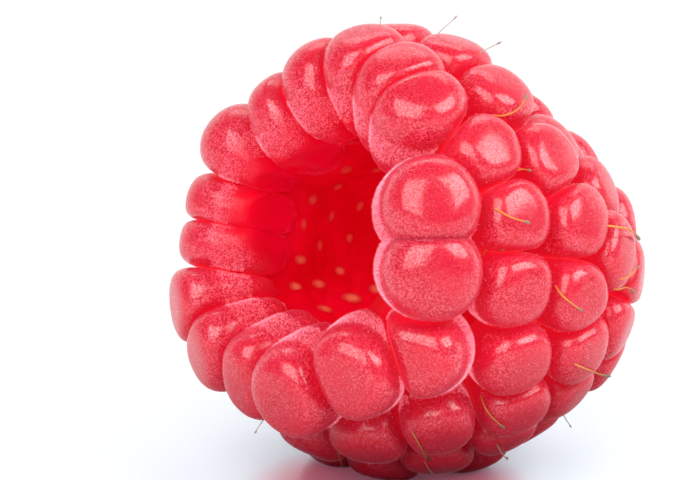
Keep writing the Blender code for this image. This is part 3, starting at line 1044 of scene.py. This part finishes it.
# Each hair's root is on a drupelet's skin in a direction drawn evenly over its outer side. The hair
# leans from the normal, and is left out where its tip would pass into a neighbour or the floor.
def downPiece(number, material):
    draw = np.random.default_rng(down["seed"] + number)
    count = down["perPiece"]
    per = int(count / len(middles) * down["tries"])
    k = np.arange(len(middles))
    height = draw.uniform(math.cos(down["fallLimit"]), 1, (len(k), per))
    turn = draw.uniform(0, 2 * math.pi, (len(k), per))
    wide = np.sqrt(1 - height**2)
    root, normal, crease = skinAt(k, np.stack([wide * np.cos(turn), wide * np.sin(turn), height], -1))
    anyWay = unit(draw.normal(size=root.shape))
    tangent = unit(anyWay - (anyWay * normal).sum(-1, keepdims=True) * normal)
    lean = down["lean"] * np.sqrt(draw.uniform(down["leastLean"], 1, (len(k), per, 1)))
    way = np.cos(lean) * normal + np.sin(lean) * tangent
    length = draw.uniform(*down["length"], (len(k), per, 1))
    tip = root + way * length
    inner = meltIntoWall(root)[1] * onRim[:, None]
    inMiddle = smooth((height - down["middleFrom"]) / down["middleFade"])
    fits = draw.uniform(0, 1, height.shape) * inMiddle < 1 - down["fewInMiddle"]
    fits &= tip[..., 2] > down["overFloor"]
    fits &= root[..., 2] > draw.uniform(down["overFloor"], down["fewBelow"], height.shape)
    fits &= inner < draw.uniform(0, down["innerLimit"], inner.shape)
    fits &= crease < down["creaseLimit"]
    for n in range(pillow["neighbours"]):
        past = np.einsum("kpj,kj->kp", tip - middles[:, None], towards[:, n]) - halfway[:, n][:, None]
        fits &= past < down["overlap"]
    chosen = draw.permutation(fits.sum())[:count]
    root, tip, way, normal = (values[fits][chosen] for values in (root, tip, way, normal))
    root = root - down["sunk"] * normal
    side = unit(np.cross(way, unit(draw.normal(size=way.shape))))
    other = np.cross(way, side)
    turn = evenTurns(3)[:, None]
    spoke = np.cos(turn) * side[:, None] + np.sin(turn) * other[:, None]
    points = np.concatenate([root[:, None] + down["radius"] * spoke, tip[:, None]], 1)
    faces = np.array([[0, 1, 3], [1, 2, 3], [2, 0, 3], [0, 2, 1]])
    triangles = (np.arange(len(root)) * 4)[:, None, None] + faces
    piece = addPiece("down" + "ABCD"[number], points, np.zeros((0, 4), int), triangles.reshape(-1, 3))
    # Every hair lies on one strip of its map, foot down: its three sides side by side, and its small
    # end across them.
    strip = draw.integers(0, down["strips"], len(root))[:, None, None]
    sides = [[[left, 0], [left + 0.3, 0], [left + 0.15, 1]] for left in (0, 0.3, 0.6)]
    corner = np.array(sides + [[[0, 0], [0.9, 0], [0.45, 0.1]]])
    spread = np.broadcast_to(corner, (len(root), 4, 3, 2)).copy()
    spread[..., 0] = (spread[..., 0] + strip) / down["strips"]
    layer = piece.data.uv_layers.new(name=down["mapName"])
    layer.uv.foreach_set("vector", spread.astype(np.float32).ravel())
    dress(piece, material)


downLook = downMaterial()
for number in range(down["pieces"]):
    downPiece(number, downLook)


# The studio: a pale floor that brightens to plain white away from the berry, and soft boxes.
studio = {
    "floorSize": 1200,
    "floorShade": (0.86, 0.93, 1.0),
    "floorLit": (0.20, 0.11, 0.12),  # what the berry sees of it
    "floorHaze": (0.05, 0.13, 0.16),  # the pale blue of its shadows
    "paintedRedBounce": (0.80, 0.24, 0.34),  # painted light: its red colour under the berry, for the light thrown off the skin
    "paintedRedBounceHaze": (0.08, 0.03, 0.045),
    "redMiddle": (1.8, -3.6, 0),
    "redSpan": (4.5, 8.0),
    "whiteSpan": (6, 23),
    "white": 1.03,
    "backFill": 0.95,  # light from the white background behind the berry
    "frontFill": 0.08,
    "overheadFill": 0.10,
    "behind": (-0.1, 0.7),  # cosines off the camera's way between which the background starts
    "backTop": (0.6, 1.0),  # rises between which the fill from behind and from the front ends
    "frontTop": (0.1, 0.5),
    "aimHeight": 10,
}
# Each soft box: how far left or right of the camera and how high it stands, in degrees, how far
# away and how wide and high it is, and its strength.
softBoxes = {
    "keyLeft": (-26, 35, 260, 255, 230, 3.5),
    "keyRight": (62, 38, 260, 195, 150, 5.2),
    "sideRight": (114, 10, 260, 130, 200, 0.8),
    "backTop": (175, 62, 260, 220, 90, 2.0),
}


def floorMaterial():
    material, shader, start = newMaterial(
        "floor", Roughness=0.3, Specular_IOR_Level=0.7, Emission_Strength=1.0)
    where = start.node("TexCoord", out=3)
    white = where.vector("LENGTH").ramp(*(edge * mm for edge in studio["whiteSpan"]))
    seen = start.node("LightPath", out="Is Camera Ray")
    # Painted light: near the berry the floor is tinted red, with a red haze, for the light thrown off the
    # skin.
    out = where.vector("DISTANCE", np.array(studio["redMiddle"]) * mm)
    paling = out.ramp(*(edge * mm for edge in studio["redSpan"]))
    colour = seen.between(studio["floorLit"], paling.between(studio["paintedRedBounce"], studio["floorShade"]))
    haze = seen.between((0, 0, 0), paling.between(studio["paintedRedBounceHaze"], studio["floorHaze"]))
    feed(shader, Base_Color=colour, Emission_Color=haze)
    tree = material.node_tree
    glow = start.node("Emission", None, {"Strength": studio["white"]})
    surface = start.node("MixShader", None, {0: white, 1: Field(tree, shader.outputs[0]), 2: glow})
    feed(tree.nodes["Material Output"], Surface=surface)
    return material


def addFloor():
    half = studio["floorSize"] / 2
    points = [(-half, -half, 0), (half, -half, 0), (half, half, 0), (-half, half, 0)]
    floor = addPiece("floor", points, np.array([[0, 1, 2, 3]]), np.zeros((0, 3), int))
    floor.data.materials.append(floorMaterial())


def addSoftBox(name, aside, height, distance, wide, high, strength):
    back = towardsViewer(view["azimuth"] + math.radians(aside), math.radians(height))
    data = bpy.data.lights.new(name, "AREA")
    data.shape = "RECTANGLE"
    data.size, data.size_y = wide * mm, high * mm
    data.energy = strength * math.pi * data.size * data.size_y
    aim(data, np.array([0, 0, studio["aimHeight"]]) + back * distance, back)


def addWorld():
    world = bpy.data.worlds.new("studio")
    bpy.context.scene.world = world
    world.use_nodes = True
    background = world.node_tree.nodes["Background"]
    background.inputs["Color"].default_value = (1, 1, 1, 1)
    start = Field(world.node_tree)
    seen = start.node("LightPath", out="Is Camera Ray")
    way = start.node("TexCoord")
    up, behind = way.axis(2), way.vector("DOT_PRODUCT", -viewBack).ramp(*studio["behind"])
    back = behind * (1 - up.ramp(*studio["backTop"])) * studio["backFill"]
    front = (1 - behind) * (1 - up.ramp(*studio["frontTop"])) * studio["frontFill"]
    feed(background, Strength=seen + (1 - seen) * (back + front + studio["overheadFill"]))


addFloor()
for name, box in softBoxes.items():
    addSoftBox(name, *box)
addWorld()
bpy.context.scene.view_settings.view_transform = "Standard"
print("studio lit")
